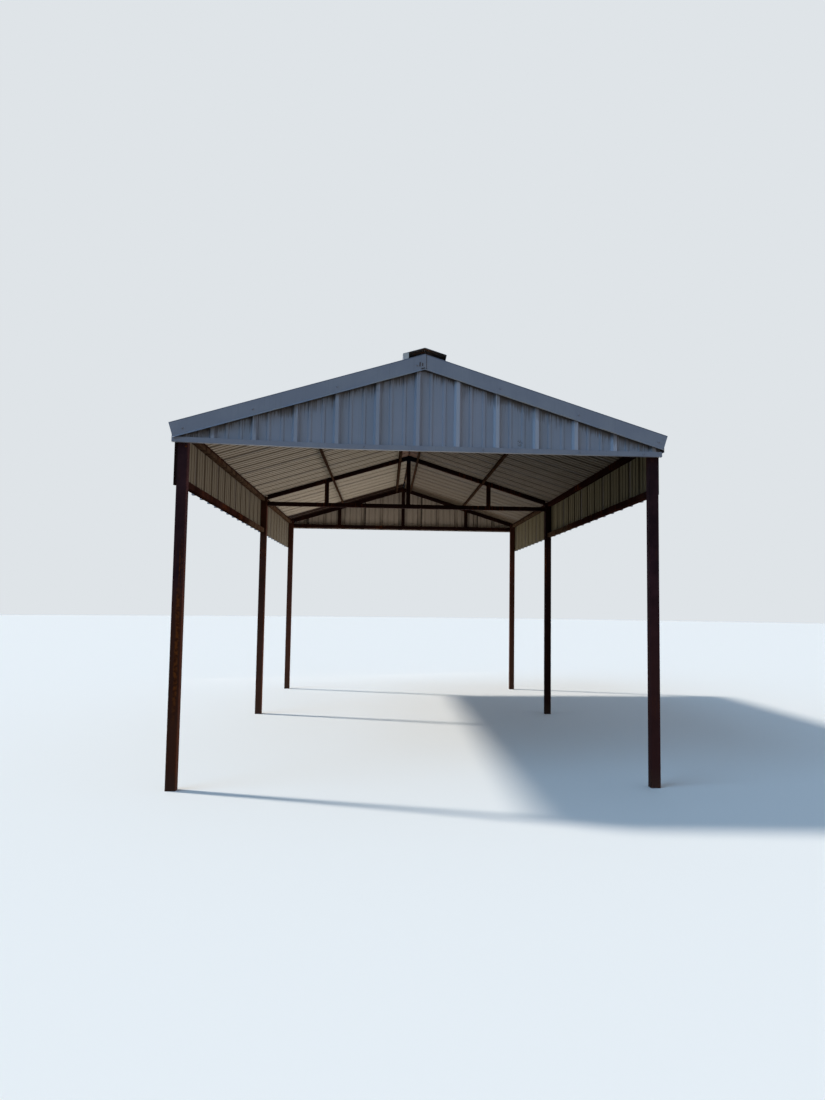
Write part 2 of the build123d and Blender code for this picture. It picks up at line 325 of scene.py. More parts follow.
    # Dull, with the grit and the brush marks raised
    dull = add(tree, "MapRange", {0: marks, 1: 0.3, 2: 0.7, 3: 0.78, 4: 0.95})
    grit = add(tree, "TexNoise", {"Vector": place, "Scale": 1 / 0.003, "Detail": 3.0})
    relief = add(tree, "Math", {0: grit, 1: marks}, operation="ADD")
    relief = add(tree, "Bump", {"Strength": 0.5, "Distance": 0.0006, "Height": relief})
    feed(tree, shader, Base_Color=colour, Roughness=dull, Normal=relief)
    return material


def coat(node, material):
    """Gives a piece its one material."""
    node.data.materials.clear()
    node.data.materials.append(material)


# The same coat has aged in several ways: plum on the front posts, faded on the others, rusty on
# the side rails and dusted where it is sheltered. Low down the posts turn brown or tan: painted
# warm light thrown up from the ground.
frame_primer = primer("red_oxide_primer")
post_primer = primer("red_oxide_primer_sunned", dark=primer_plum, light=primer_bright,
                     ground_glow=(foot_red, 0.8, 1.7, 0.9))
stained_primer = primer("red_oxide_primer_stained", dark=primer_plum, light=primer_sunned,
                        ground_glow=(foot_brown, 0.8, 1.55, 1.3), rust_run=(-1.783, 0.020, 0.42, 1.5))
faded_primer = primer("red_oxide_primer_faded", dark=primer_brown, light=primer_faded,
                      ground_glow=(foot_tan, 0.85, 1.6, 0.1))
purlin_primer = primer("red_oxide_primer_sheltered", shine=0.0, dust_and_shade_top=weld_peak[2] + 0.1,
                       dust=0.45)
rail_primer = primer("red_oxide_primer_worn", light=primer_worn, shine=0.0, wear=0.03,
                     dust_and_shade_top=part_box("side_rail_left")[1].z + 0.02, dust_from=-0.9)
beam_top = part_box("eave_beam_left")[1].z
dusty_primer = primer("red_oxide_primer_dusty", shine=0.0, dust_and_shade_top=beam_top)
part_dusty_primer = primer("red_oxide_primer_part_dusty", shine=0.0, dust_and_shade_top=beam_top,
                           dust_from=0.6)
coats = {"post_front_left": stained_primer, "post_front_right": post_primer,
         "post_middle_right": frame_primer, "post": faded_primer, "side_rail": rail_primer,
         "eave_beam_left": dusty_primer, "eave_beam_right": part_dusty_primer,
         "middle_purlin": purlin_primer, "ridge_purlin": purlin_primer,
         "rafter": frame_primer, "tie": frame_primer, "king_post": frame_primer,
         "struts": frame_primer}
for name, node in nodes.items():
    for start, primed in coats.items():
        if name.startswith(start):
            coat(node, primed)
            break


# Weld beads: each tube is stick welded to the next along every edge that the rod could reach.
# A bead is a slim ridge, pinched where each short pass stopped, brushed over with the same primer.
bead_radius = 0.0042
bead_pass = 0.007
bead_swell = (0.72, 1.18)
near_face = 0.001
near_roof = 0.004
rows = ("front", "middle", "rear")
sides = {"left": -1, "right": 1}
tube = 0.0508
purlin_width = 0.0254
post_low, post_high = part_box("post_front_right")
half_width = post_high.x
eave_height = post_high.z
post_inner = post_low.x
half_length = -post_low.y
ridge_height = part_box("rafter_front_left")[1].z
roof_pitch = (ridge_height - eave_height) / half_width
slope = math.atan(roof_pitch)


def roof_level(x, above=0.0):
    """Height at x of a line that lies above a roof slope, measured square to it."""
    return ridge_height - roof_pitch * abs(x) + above / math.cos(slope)


def add_shape(mesh, shape, place):
    """Moves a finished shape to its place and adds it to a mesh."""
    shape.transform(place)
    data = bpy.data.meshes.new("shape")
    shape.to_mesh(data)
    shape.free()
    mesh.from_mesh(data)
    bpy.data.meshes.remove(data)


def bead(mesh, start, end, radius=bead_radius):
    """Adds one run of weld or sealant from corner to corner."""
    run = end - start
    passes = max(2, round(run.length / bead_pass))
    rise = run.length / passes
    shape = bmesh.new()
    bmesh.ops.create_circle(shape, cap_ends=True, segments=6, radius=radius)
    for each in range(passes):
        top = [face for face in shape.faces if abs(face.normal.z) > 0.99
               and abs(face.calc_center_median().z - each * rise) < 1e-6]
        made = bmesh.ops.extrude_face_region(shape, geom=top[:1])
        ring = [v for v in made["geom"] if isinstance(v, bmesh.types.BMVert)]
        bmesh.ops.translate(shape, verts=ring, vec=(0, 0, rise))
        swell = random.uniform(*bead_swell) * radius / max(v.co.xy.length for v in ring)
        bmesh.ops.scale(shape, verts=ring, vec=(swell, swell, 1.0))
        if each:
            bmesh.ops.delete(shape, geom=top[:1], context="FACES_ONLY")
    bmesh.ops.recalc_face_normals(shape, faces=shape.faces)
    turn = run.to_track_quat("Z", "X").to_matrix().to_4x4()
    add_shape(mesh, shape, Matrix.Translation(start) @ turn)


def in_reach(start, end):
    """False for a run that a sheet covers: outside on the frame or right under the roof."""
    if min(abs(start.x), abs(end.x)) > half_width - near_face:
        return False
    if min(abs(start.y), abs(end.y)) > half_length - near_face:
        return False
    return min(roof_level(p.x) - p.z for p in (start, end)) > near_roof or start.x * end.x < 0


def weld(mesh, *corners):
    """Welds round a joint through its corners in order."""
    for start, end in zip(corners, corners[1:] + corners[:1]):
        if in_reach(start, end):
            bead(mesh, start, end)


def square_round(centre, one, other):
    """The four corners about a centre, given half of each side."""
    return [centre - one - other, centre + one - other, centre + one + other, centre - one + other]


def joined(mesh, name, slot, *materials):
    """Makes a piece that rides on the carport, with its materials. The slot is not used."""
    piece = piece_from(mesh, name, *materials)
    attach(piece, "root")


half = tube / 2
sideways, along, upright = Vector((half, 0, 0)), Vector((0, half, 0)), Vector((0, 0, half))
strut_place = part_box("struts_front")[1].x - half
for row in rows:
    low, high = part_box(f"tie_{row}")
    line = (low.y + high.y) / 2
    shape = bmesh.new()
    for side in sides.values():
        x = side * post_inner
        weld(shape, *square_round(Vector((x, line, (low.z + high.z) / 2)), along, upright))
        foot = roof_level(x, -tube)
        weld(shape, Vector((x, line - half, eave_height)), Vector((x, line - half, foot)),
             Vector((x, line + half, foot)), Vector((x, line + half, eave_height)))
    for x in (-strut_place, 0.0, strut_place):
        weld(shape, *square_round(Vector((x, line, high.z)), sideways, along))
        round_head = [(x - half, line - half), (x + half, line - half),
                      (x + half, line + half), (x - half, line + half)]
        if x == 0.0:
            round_head.insert(1, (0.0, line - half))
            round_head.insert(4, (0.0, line + half))
        weld(shape, *[Vector((px, py, roof_level(px, -tube))) for px, py in round_head])
    for y in (line - half, line + half):
        if abs(y) < half_length - near_face:
            bead(shape, Vector((0, y, roof_level(0, -tube))), Vector((0, y, ridge_height)))
    joined(shape, f"welds_truss_{row}", "frame_steel", frame_primer)

truss_faces = [(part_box("tie_front")[1].y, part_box("tie_middle")[0].y),
               (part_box("tie_middle")[1].y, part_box("tie_rear")[0].y)]
post_faces = [(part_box("post_front_left")[1].y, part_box("post_middle_left")[0].y),
              (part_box("post_middle_left")[1].y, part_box("post_rear_left")[0].y)]
slope_ways = {side_name: (Vector((side * math.cos(slope), 0, -math.sin(slope))),
                          Vector((side * math.sin(slope), 0, math.cos(slope))))
              for side_name, side in sides.items()}
for side_name in sides:
    shape = bmesh.new()
    down, up_off = slope_ways[side_name]
    for purlin in ("middle_purlin", "ridge_purlin"):
        low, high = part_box(f"{purlin}_{side_name}")
        for y in truss_faces[0] + truss_faces[1]:
            centre = Vector(((low.x + high.x) / 2, y, (low.z + high.z) / 2))
            weld(shape, *square_round(centre, down * purlin_width / 2, up_off * half))
    for beam, ends in ((f"eave_beam_{side_name}", post_faces[0] + post_faces[1]),
                       (f"side_rail_{side_name}", post_faces[0])):
        low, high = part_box(beam)
        for y in ends:
            centre = Vector(((low.x + high.x) / 2, y, (low.z + high.z) / 2))
            weld(shape, *square_round(centre, sideways, upright))
    joined(shape, f"welds_{side_name}", "frame_steel", frame_primer)


# The ribbed sheets: galvanised steel, roll formed with a high rib every foot and two low ones
# between. Outside is a baked grey polyester paint, a little faded and streaked by rain, with a
# painted highlight on the high ribs of the gables and painted shade on the front ends of the side
# sheets. Inside is a thin beige backer coat, set lighter or darker on each sheet as painted light
# and shade, with dirt and painted shade along the foot of every rib.
outside_grey = "#8A919B"
outside_faded = "#9498A2"
rib_highlight_grey = "#ABB0B8"
outside_streak = "#727576"
# Inside beige of each sheet, lighter or darker as painted light and shade: gables and left roof
# lit, sides and right roof shaded
inside_beige_lit_and_shaded = {"gable": "#CAC3BA", "skirt_left": "#6F6C60", "skirt_right": "#7C7862",
                "roof_left": "#A7A499", "roof_right": "#7D7870"}
inside_stain_and_shade = "#5A4F40"
inside_dark_shade = "#2C2422"
rear_strip_shade = {"left": "#20140F", "right": "#5C5348"}
outside_shine = 0.35
inside_shine = 0.04
ridge_mauve = "#8A7066"
dirt_brown = "#4A3F33"
dirt_dark = "#33271E"
rib_pitch = 0.3048
low_step = rib_pitch / 3
rib_height = 0.032
rib_foot = 0.062
rib_crest = 0.026
sheet_half_length = half_length + rib_height
gable_rib = -0.047
side_ribs = {"left": 0.062 - half_length, "right": 0.200 - half_length}
roof_ribs = {"left": sheet_half_length - 0.060, "right": 0.060 - sheet_half_length}
rake_below = 0.088
shade_from = 3.10
shaded_end_reach = 0.075
stain_place = Vector((0.74, -3.7, 2.604))
stain_size = Vector((0.024, 3.0, 0.034))


def sheet_paint(name, inside_colour, axis, run, across, first_rib, strip_shade_colour=inside_dark_shade):
    """Paint of a ribbed sheet that faces along one axis, with its ribs running along another.
    Its high ribs are spaced across from a first one. The strip is the last of a roof sheet
    against the rear gable, and its colour is painted shade."""
    material, tree, shader, place = new_material(name, Metallic=0.0, IOR=1.5)
    axes = add(tree, "SeparateXYZ", {0: place})
    facing = add(tree, "SeparateXYZ", {0: add(tree, "NewGeometry").outputs["True Normal"]})
    turned = add(tree, "Math", {0: axes.outputs[axis]}, operation="SIGN")
    turned = add(tree, "Math", {0: turned, 1: facing.outputs[axis]}, operation="MULTIPLY")
    is_outside = add(tree, "Math", {0: turned, 1: -0.1}, operation="GREATER_THAN")
    shine = add(tree, "MapRange", {0: is_outside, 3: inside_shine, 4: outside_shine})
    aside = add(tree, "Math", {0: axes.outputs[across], 1: first_rib}, operation="SUBTRACT")

    # Fading in broad clouds, and rain streaks drawn out along the ribs
    cloud = add(tree, "TexNoise", {"Vector": place, "Scale": 1 / 0.7, "Detail": 4.0})
    faded = add(tree, "MapRange", {0: cloud, 1: 0.35, 2: 0.65})
    outside = add(tree, "Mix", {0: faded, 6: linear(outside_grey), 7: linear(outside_faded)},
                  data_type="RGBA")
    stretch = [0.7 if each == run else 1 / 0.016 for each in range(3)]
    if axis == 2:
        stretch[2] = 0.7
    drawn = add(tree, "Mapping", {"Vector": place, "Scale": stretch})
    streaks = add(tree, "TexNoise",
                  {"Vector": drawn, "Scale": 1.0, "Detail": 5.0, "Roughness": 0.6})
    streaky = add(tree, "MapRange", {0: streaks, 1: 0.52, 2: 0.80, 4: 0.4})
    outside = add(tree, "Mix", {0: streaky, 6: outside, 7: linear(outside_streak)},
                  data_type="RGBA")
    if axis == 0:
        # The front ends of the side sheets are painted dark and dull: painted shade on the sheet
        # ends
        end = add(tree, "MapRange",
                  {0: axes.outputs[1], 1: shaded_end_reach - half_length, 2: shaded_end_reach - 0.003 - half_length})
        outside = add(tree, "Mix", {0: end, 6: outside, 7: linear(primer_dark)}, data_type="RGBA")
        dulled = add(tree, "MapRange", {0: end, 3: 1.0, 4: 0.0})
        shine = add(tree, "Math", {0: shine, 1: dulled}, operation="MULTIPLY")
    if axis == 1:
        # Painted highlight: the high ribs are lighter than the flats, most of all on the right
        near = add(tree, "Math", {0: aside, 1: -rib_pitch / 2, 2: rib_pitch / 2}, operation="WRAP")
        rib_highlight = add(tree, "MapRange", {0: near, 1: -rib_foot / 2, 2: 0.004 - rib_foot / 2})
        before = add(tree, "MapRange", {0: near, 1: rib_crest / 2 + 0.004, 2: rib_crest / 2})
        on_right = add(tree, "MapRange", {0: axes.outputs[0], 1: 0.0, 2: 0.25, 3: 0.25, 4: 1.0})
        rib_highlight = add(tree, "Math", {0: rib_highlight, 1: before}, operation="MULTIPLY")
        rib_highlight = add(tree, "Math", {0: rib_highlight, 1: on_right}, operation="MULTIPLY")
        outside = add(tree, "Mix", {0: rib_highlight, 6: outside, 7: linear(rib_highlight_grey)},
                      data_type="RGBA")

        # Fine brown drips from under the rakes, and dark wedges beside some of the high ribs
        level = add(tree, "Math", {0: axes.outputs[0]}, operation="ABSOLUTE")
        level = add(tree, "Math", {0: level, 1: -roof_pitch, 2: ridge_height - rake_below},
                    operation="MULTIPLY_ADD")
        below = add(tree, "Math", {0: level, 1: axes.outputs[2]}, operation="SUBTRACT")
        thin = add(tree, "Mapping", {"Vector": place, "Scale": (1 / 0.007, 1 / 0.007, 1.2)})
        thin = add(tree, "TexNoise", {"Vector": thin, "Scale": 1.0, "Detail": 3.0})
        length = add(tree, "TexNoise", {"Vector": place, "Scale": 1 / 0.16, "Detail": 2.0})
        length = add(tree, "Math", {0: thin, 1: length}, operation="ADD")
        reach = add(tree, "MapRange", {0: length, 1: 0.90, 2: 1.26, 3: 0.008, 4: 0.16})
        drip = add(tree, "Math", {0: below, 1: reach}, operation="DIVIDE")
        drip = add(tree, "MapRange", {0: drip, 1: 1.0, 2: 0.0, 4: 0.85})
        outside = add(tree, "Mix", {0: drip, 6: outside, 7: linear(dirt_brown)}, data_type="RGBA")
        wedge = add(tree, "MapRange",
                    {0: near, 1: -rib_foot / 2 - 0.028, 2: -rib_foot / 2 - 0.002})
        past = add(tree, "Math", {0: near, 1: -rib_foot / 2}, operation="LESS_THAN")
        patchy = add(tree, "TexNoise", {"Vector": place, "Scale": 1 / 0.35, "Detail": 1.0})
        deep = add(tree, "MapRange", {0: patchy, 1: 0.4, 2: 0.65, 3: 0.02, 4: 0.09})
        deep = add(tree, "Math", {0: below, 1: deep}, operation="DIVIDE")
        deep = add(tree, "MapRange", {0: deep, 1: 1.0, 2: 0.3})
        wedge = add(tree, "Math", {0: wedge, 1: past}, operation="MULTIPLY")
        wedge = add(tree, "Math", {0: wedge, 1: deep}, operation="MULTIPLY")
        on_left = add(tree, "MapRange", {0: axes.outputs[0], 1: 0.2, 2: -0.2, 3: 0.2, 4: 0.85})
        wedge = add(tree, "Math", {0: wedge, 1: on_left}, operation="MULTIPLY")
        outside = add(tree, "Mix", {0: wedge, 6: outside, 7: linear(dirt_dark)}, data_type="RGBA")

        # One speckled stain low on the right of the front gable
        off = add(tree, "VectorMath", {0: place, 1: stain_place}, operation="SUBTRACT")
        off = add(tree, "VectorMath", {0: off, 1: stain_size}, operation="DIVIDE")
        off = add(tree, "VectorMath", {0: off}, operation="LENGTH")
        stained = add(tree, "MapRange", {0: off.outputs["Value"], 1: 1.0, 2: 0.6, 4: 0.8})
        speckled = add(tree, "TexNoise", {"Vector": place, "Scale": 1 / 0.008, "Detail": 3.0})
        speckled = add(tree, "MapRange", {0: speckled, 1: 0.48, 2: 0.56})
        stained = add(tree, "Math", {0: stained, 1: speckled}, operation="MULTIPLY")
        outside = add(tree, "Mix", {0: stained, 6: outside, 7: linear(dirt_brown)},
                      data_type="RGBA")

    # Inside, dirt and painted shade lie along the ribs, the strip of roof against the rear gable
    # is painted dark as shade, and a mauve band runs along the ridge in the front bay
    low_depth, high_depth = {0: (0.6, 0.6), 1: (0.2, 0.2), 2: (0.95, 0.45)}[axis]
    low_rib = add(tree, "Math", {0: aside, 1: low_step / 2}, operation="PINGPONG")
    flat = add(tree, "MapRange",
               {0: low_rib, 1: low_step / 2 - 0.009, 2: low_step / 2 - 0.004, 4: high_depth * 0.7})
    low_rib = add(tree, "MapRange", {0: low_rib, 1: 0.017, 2: 0.011, 4: low_depth})
    high_rib = add(tree, "Math", {0: aside, 1: rib_pitch / 2}, operation="PINGPONG")
    high_rib = add(tree, "MapRange", {0: high_rib, 1: 0.034, 2: 0.028, 4: high_depth})
    groove_dirt_and_shade = add(tree, "Math", {0: low_rib, 1: high_rib}, operation="MAXIMUM")
    groove_dirt_and_shade = add(tree, "Math", {0: groove_dirt_and_shade, 1: flat}, operation="MAXIMUM")
    groove_dirt_and_shade = add(tree, "Math", {0: groove_dirt_and_shade, 1: streaky}, operation="MAXIMUM")
    inside = add(tree, "Mix", {0: groove_dirt_and_shade, 6: linear(inside_colour), 7: linear(inside_stain_and_shade)},
                 data_type="RGBA")
    if axis == 2:
        # The last strip against the rear gable is painted dark: painted shade
        behind = add(tree, "MapRange", {0: axes.outputs[1], 1: shade_from, 2: shade_from + 0.02})
        inside = add(tree, "Mix", {0: behind, 6: inside, 7: linear(strip_shade_colour)},
                     data_type="RGBA")
        ridge = add(tree, "Math", {0: axes.outputs[0]}, operation="ABSOLUTE")
        ridge = add(tree, "MapRange", {0: ridge, 1: 0.11, 2: 0.09, 4: 0.8})
        fore = add(tree, "Math", {0: axes.outputs[1], 1: weld_peak[1]}, operation="LESS_THAN")
        ridge = add(tree, "Math", {0: ridge, 1: fore}, operation="MULTIPLY")
        inside = add(tree, "Mix", {0: ridge, 6: inside, 7: linear(ridge_mauve)}, data_type="RGBA")
    colour = add(tree, "Mix", {0: is_outside, 6: inside, 7: outside}, data_type="RGBA")

    # Satin outside and duller inside, with shallow dents
    gloss = add(tree, "MapRange", {0: is_outside, 3: 0.62, 4: 0.42})
    worn = add(tree, "Math", {0: streaks, 1: 0.12, 2: gloss}, operation="MULTIPLY_ADD")
    dents = add(tree, "TexNoise", {"Vector": place, "Scale": 1 / 0.2, "Detail": 1.0})
    relief = add(tree, "Bump", {"Strength": 0.35, "Distance": 0.004, "Height": dents})
    feed(tree, shader, Base_Color=colour, Specular_IOR_Level=shine, Roughness=worn, Normal=relief)
    return material


gable_paint = sheet_paint("baked_polyester_on_gable_sheet", inside_beige_lit_and_shaded["gable"], 1, 2, 0,
                          gable_rib)
paints = {"gable_front": gable_paint, "gable_rear": gable_paint}
for side_name in sides:
    name = f"skirt_{side_name}"
    paints[name] = sheet_paint(f"baked_polyester_on_{side_name}_side_sheet", inside_beige_lit_and_shaded[name],
                               0, 2, 1, side_ribs[side_name])
    name = f"roof_{side_name}"
    paints[name] = sheet_paint(f"baked_polyester_on_{side_name}_roof_sheet", inside_beige_lit_and_shaded[name],
                               2, 0, 1, roof_ribs[side_name], rear_strip_shade[side_name])
for name, paint in paints.items():
    coat(nodes[name], paint)


# Side laps: each sheet is three high ribs wide, and its edge rib lies over the edge rib of the
# next. Outside, a lap shows as a second thin skin over the rib. Inside, the raw edge of the sheet
# below shows as a strip beside the rib, painted dark as the shade in the gap under the lap.
lap_gauge = 0.0008
lap_edge = 0.007
under_width = 0.024
sheet_gauge = 0.002
embed = 0.0003
ribs_a_sheet = 3
ribs_along = 24
ridge_slot = 0.012
roof_overhang = 0.049
lap_foot = 0.024
lap_short = 0.006
gable_ends = {"front": -1, "rear": 1}

# Bare edges, dark brown: painted shade of the gap under each lap, with dirt
raw_edge, tree, shader, place = new_material("galvanised_sheet_edge_in_painted_shade", Metallic=0.0, IOR=1.5,
                                             Roughness=0.6)
cloud = add(tree, "TexNoise", {"Vector": place, "Scale": 1 / 0.08, "Detail": 4.0})
colour = add(tree, "Mix", {0: cloud, 6: linear(inside_dark_shade), 7: linear(inside_stain_and_shade)},
             data_type="RGBA")
feed(tree, shader, Base_Color=colour)


def plate(mesh, outline, run):
    """Adds a thin plate or a strip: an outline carried along a run."""
    cap = mesh.faces.new([mesh.verts.new(corner) for corner in outline])
    made = bmesh.ops.extrude_face_region(mesh, geom=[cap])
    far = [v for v in made["geom"] if isinstance(v, bmesh.types.BMVert)]
    bmesh.ops.translate(mesh, verts=far, vec=run)


def sheet_laps(name, paint, slot, ribs):
    """Adds the laps of one sheet. Each rib is the start of its middle on the frame side, the
    ways across and out of the sheet, and the run."""
    crest, foot = rib_crest / 2, rib_foot / 2
    over = [(-crest, rib_height - embed), (crest, rib_height - embed), (foot, sheet_gauge - embed),
            (foot + lap_edge, sheet_gauge - embed), (foot + lap_edge, sheet_gauge + lap_gauge),
            (foot + lap_gauge, sheet_gauge + lap_gauge),
            (crest + lap_gauge / 2, rib_height + lap_gauge), (-crest, rib_height + lap_gauge)]
    under = [(-foot - under_width, embed), (-foot, embed), (-foot, -lap_gauge),
             (-foot - under_width, -lap_gauge)]
    for section, title, material in ((over, f"laps_{name}", paint),
                                     (under, f"lap_edges_{name}", raw_edge)):
        mesh = bmesh.new()
        for start, across, out, run in ribs:
            plate(mesh, [start + across * a + out * o for a, o in section], run)
        bmesh.ops.recalc_face_normals(mesh, faces=mesh.faces)
        joined(mesh, title, slot, material)


roof_length = (half_width + roof_overhang - ridge_slot) / math.cos(slope)
for side_name, side in sides.items():
    name = f"skirt_{side_name}"
    low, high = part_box(name)
    ribs = []
    for k in range(2, ribs_along, ribs_a_sheet):
        start = Vector((side * half_width, side_ribs[side_name] + k * rib_pitch, low.z))
        ribs.append((start, Vector((0, 1, 0)), Vector((side, 0, 0)),
                     Vector((0, 0, high.z - low.z))))
    sheet_laps(name, paints[name], "wall_sheet", ribs)

    name = f"roof_{side_name}"
    down, up_off = slope_ways[side_name]
    ribs = []
    for k in range(1, ribs_along, ribs_a_sheet):
        start = Vector((side * ridge_slot, roof_ribs[side_name] + side * k * rib_pitch,
                        roof_level(ridge_slot)))
        ribs.append((start, Vector((0, side, 0)), up_off, down * roof_length))
    sheet_laps(name, paints[name], "roof_sheet", ribs)

for end_name, end in gable_ends.items():
    name = f"gable_{end_name}"
    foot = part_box(name)[0].z + lap_foot
    ribs = []
    for k in range(-5, 5, ribs_a_sheet):
        x = gable_rib + k * rib_pitch
        top = roof_level(abs(x) + rib_foot) - lap_short
        ribs.append((Vector((x, end * half_length, foot)), Vector((-end, 0, 0)),
                     Vector((0, end, 0)), Vector((0, 0, top - foot))))
    sheet_laps(name, gable_paint, "wall_sheet", ribs)


# The flashings: rakes up the gables, angle trims along the gable feet and under the eaves.
# They are folded from flat steel with the same baked paint, a shade darker, and scuffed by more
# handling. The top edge of a rake is dark, and its kicked foot is tan.
flashing_grey = "#828791"
flashing_scuff = "#979A9E"
flashing_edge = "#4A5568"
kick_tan = "#93836C"
flashing_gauge = 0.002
rake_gap = 0.0025
rake_outer = sheet_half_length + rake_gap + flashing_gauge
face_from = rake_outer - 0.0011
kick_from, kick_full = rake_outer + 0.0004, rake_outer + 0.0024
edge_from, edge_full = 0.026, 0.030
flashing_paint, tree, shader, place = new_material(
    "baked_polyester_on_flashing", Metallic=0.0, IOR=1.5, Specular_IOR_Level=outside_shine)
cloud = add(tree, "TexNoise", {"Vector": place, "Scale": 1 / 0.25, "Detail": 6.0})
scuffed = add(tree, "MapRange", {0: cloud, 1: 0.45, 2: 0.75, 4: 0.6})
colour = add(tree, "Mix", {0: scuffed, 6: linear(flashing_grey), 7: linear(flashing_scuff)},
             data_type="RGBA")

# Drips down the faces, then the dark top edge of a rake and the tan on its foot
drips = add(tree, "Mapping", {"Vector": place, "Scale": (1 / 0.012, 1 / 0.012, 2.0)})
drips = add(tree, "TexNoise", {"Vector": drips, "Scale": 1.0, "Detail": 4.0})
dirty = add(tree, "MapRange", {0: drips, 1: 0.55, 2: 0.8, 4: 0.4})
colour = add(tree, "Mix", {0: dirty, 6: colour, 7: linear(outside_streak)}, data_type="RGBA")
axes = add(tree, "SeparateXYZ", {0: place})
level = add(tree, "Math", {0: axes.outputs[0]}, operation="ABSOLUTE")
level = add(tree, "Math", {0: level, 1: -roof_pitch, 2: ridge_height}, operation="MULTIPLY_ADD")
below = add(tree, "Math", {0: level, 1: axes.outputs[2]}, operation="SUBTRACT")
kick = add(tree, "Math", {0: axes.outputs[1]}, operation="ABSOLUTE")
edge = add(tree, "MapRange", {0: below, 1: -edge_from, 2: -edge_full, 4: 0.7})
on_face = add(tree, "Math", {0: kick, 1: face_from}, operation="GREATER_THAN")
edge = add(tree, "Math", {0: edge, 1: on_face}, operation="MULTIPLY")
colour = add(tree, "Mix", {0: edge, 6: colour, 7: linear(flashing_edge)}, data_type="RGBA")
kick = add(tree, "MapRange", {0: kick, 1: kick_from, 2: kick_full})
dust_and_light_tone = add(tree, "MapRange", {0: cloud, 1: 0.4, 2: 0.65, 3: 0.05, 4: 0.75})
kick = add(tree, "Math", {0: kick, 1: dust_and_light_tone}, operation="MULTIPLY")
colour = add(tree, "Mix", {0: kick, 6: colour, 7: linear(kick_tan)}, data_type="RGBA")
gloss = add(tree, "MapRange", {0: cloud, 1: 0.3, 2: 0.7, 3: 0.38, 4: 0.55})
dents = add(tree, "TexNoise", {"Vector": place, "Scale": 1 / 0.12, "Detail": 1.0})
relief = add(tree, "Bump", {"Strength": 0.3, "Distance": 0.003, "Height": dents})
feed(tree, shader, Base_Color=colour, Roughness=gloss, Normal=relief)
for name, node in nodes.items():
    if name.startswith(("rake", "gable_trim", "eave_trim")):
        coat(node, flashing_paint)


# Laps of the flashings: at the ridge the left rake laps over the right one, and the long trims
# are lapped where one length ends. The ridge lap is closed with a dark bead of old sealant.
cover_gauge = 0.0008
sealant_radius = 0.0026
smear_radius = 0.0042
sealant_dark = "#171311"
sealant_brown = "#3D2E24"
rake_face = 0.120
rake_kick = 0.012
rake_up = rib_height + flashing_gauge
rake_foot = rake_up - rake_face + rake_kick
rake_lap = (-0.034, 0.0, 0.012)
sealant_off = 0.0006
beside_lap = (0.0015, 0.0005)
smears = ((-0.038, 0.030, 0.062), (-0.018, 0.036, 0.060))
smear_lean = 0.002
foot_smear = -0.026
foot_smear_up = 0.004
lap_width = 0.045
eave_laps = (-0.68, 2.37)
eave_lap_short = 0.018
gable_laps = {"front": -0.610, "rear": 0.610}
gable_trim_face = 0.038

# Hard old sealant, near black with brown spots
old_sealant, tree, shader, place = new_material("old_sealant", Metallic=0.0, IOR=1.5,
                                                Roughness=0.7)
cloud = add(tree, "TexNoise", {"Vector": place, "Scale": 1 / 0.01, "Detail": 3.0})
colour = add(tree, "Mix", {0: cloud, 6: linear(sealant_dark), 7: linear(sealant_brown)},
             data_type="RGBA")
feed(tree, shader, Base_Color=colour)


def on_rake(x, y, above):
    """A point of a rake's face that lies above the roof sheets, measured square to them."""
    return Vector((x, y, roof_level(x, above)))


shape, sealant = bmesh.new(), bmesh.new()
for end in gable_ends.values():
    face = end * (rake_outer - embed)
    outline = [on_rake(x, face, rake_up) for x in rake_lap]
    outline += [on_rake(x, face, rake_foot) for x in reversed(rake_lap)]
    plate(shape, outline, Vector((0, end * (cover_gauge + embed), 0)))
    y = end * (rake_outer + sealant_off)
    bead(sealant, on_rake(rake_lap[2] + beside_lap[0], y, rake_foot),
         on_rake(rake_lap[2] + beside_lap[1], y, rake_up), sealant_radius)
    for x, low, high in smears:
        bead(sealant, Vector((x, y, ridge_height - high)),
             Vector((x + smear_lean, y, ridge_height - low)), smear_radius)
    bead(sealant, on_rake(foot_smear, y, rake_foot + foot_smear_up),
         on_rake(0.0, y, rake_foot + foot_smear_up), smear_radius)
bmesh.ops.recalc_face_normals(shape, faces=shape.faces)
joined(shape, "rake_ridge_laps", "flashing", flashing_paint)
joined(sealant, "rake_sealant", "flashing", old_sealant)

shape = bmesh.new()
for side_name, side in sides.items():
    low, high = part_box(f"eave_trim_{side_name}")
    face = high.x if side > 0 else low.x
    top = high.z - eave_lap_short
    for y in eave_laps:
        outline = [Vector((face - side * embed, y + across, z)) for across, z in
                   ((0, low.z), (lap_width, low.z), (lap_width, top), (0, top))]
        plate(shape, outline, Vector((side * (cover_gauge + embed), 0, 0)))
for end_name, end in gable_ends.items():
    low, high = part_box(f"gable_trim_{end_name}")
    face = low.y if end < 0 else high.y
    top = low.z + gable_trim_face
    outline = [Vector((gable_laps[end_name] + across, face - end * embed, z)) for across, z in
               ((0, low.z), (lap_width, low.z), (lap_width, top), (0, top))]
    plate(shape, outline, Vector((0, end * (cover_gauge + embed), 0)))
bmesh.ops.recalc_face_normals(shape, faces=shape.faces)
joined(shape, "trim_laps", "flashing", flashing_paint)


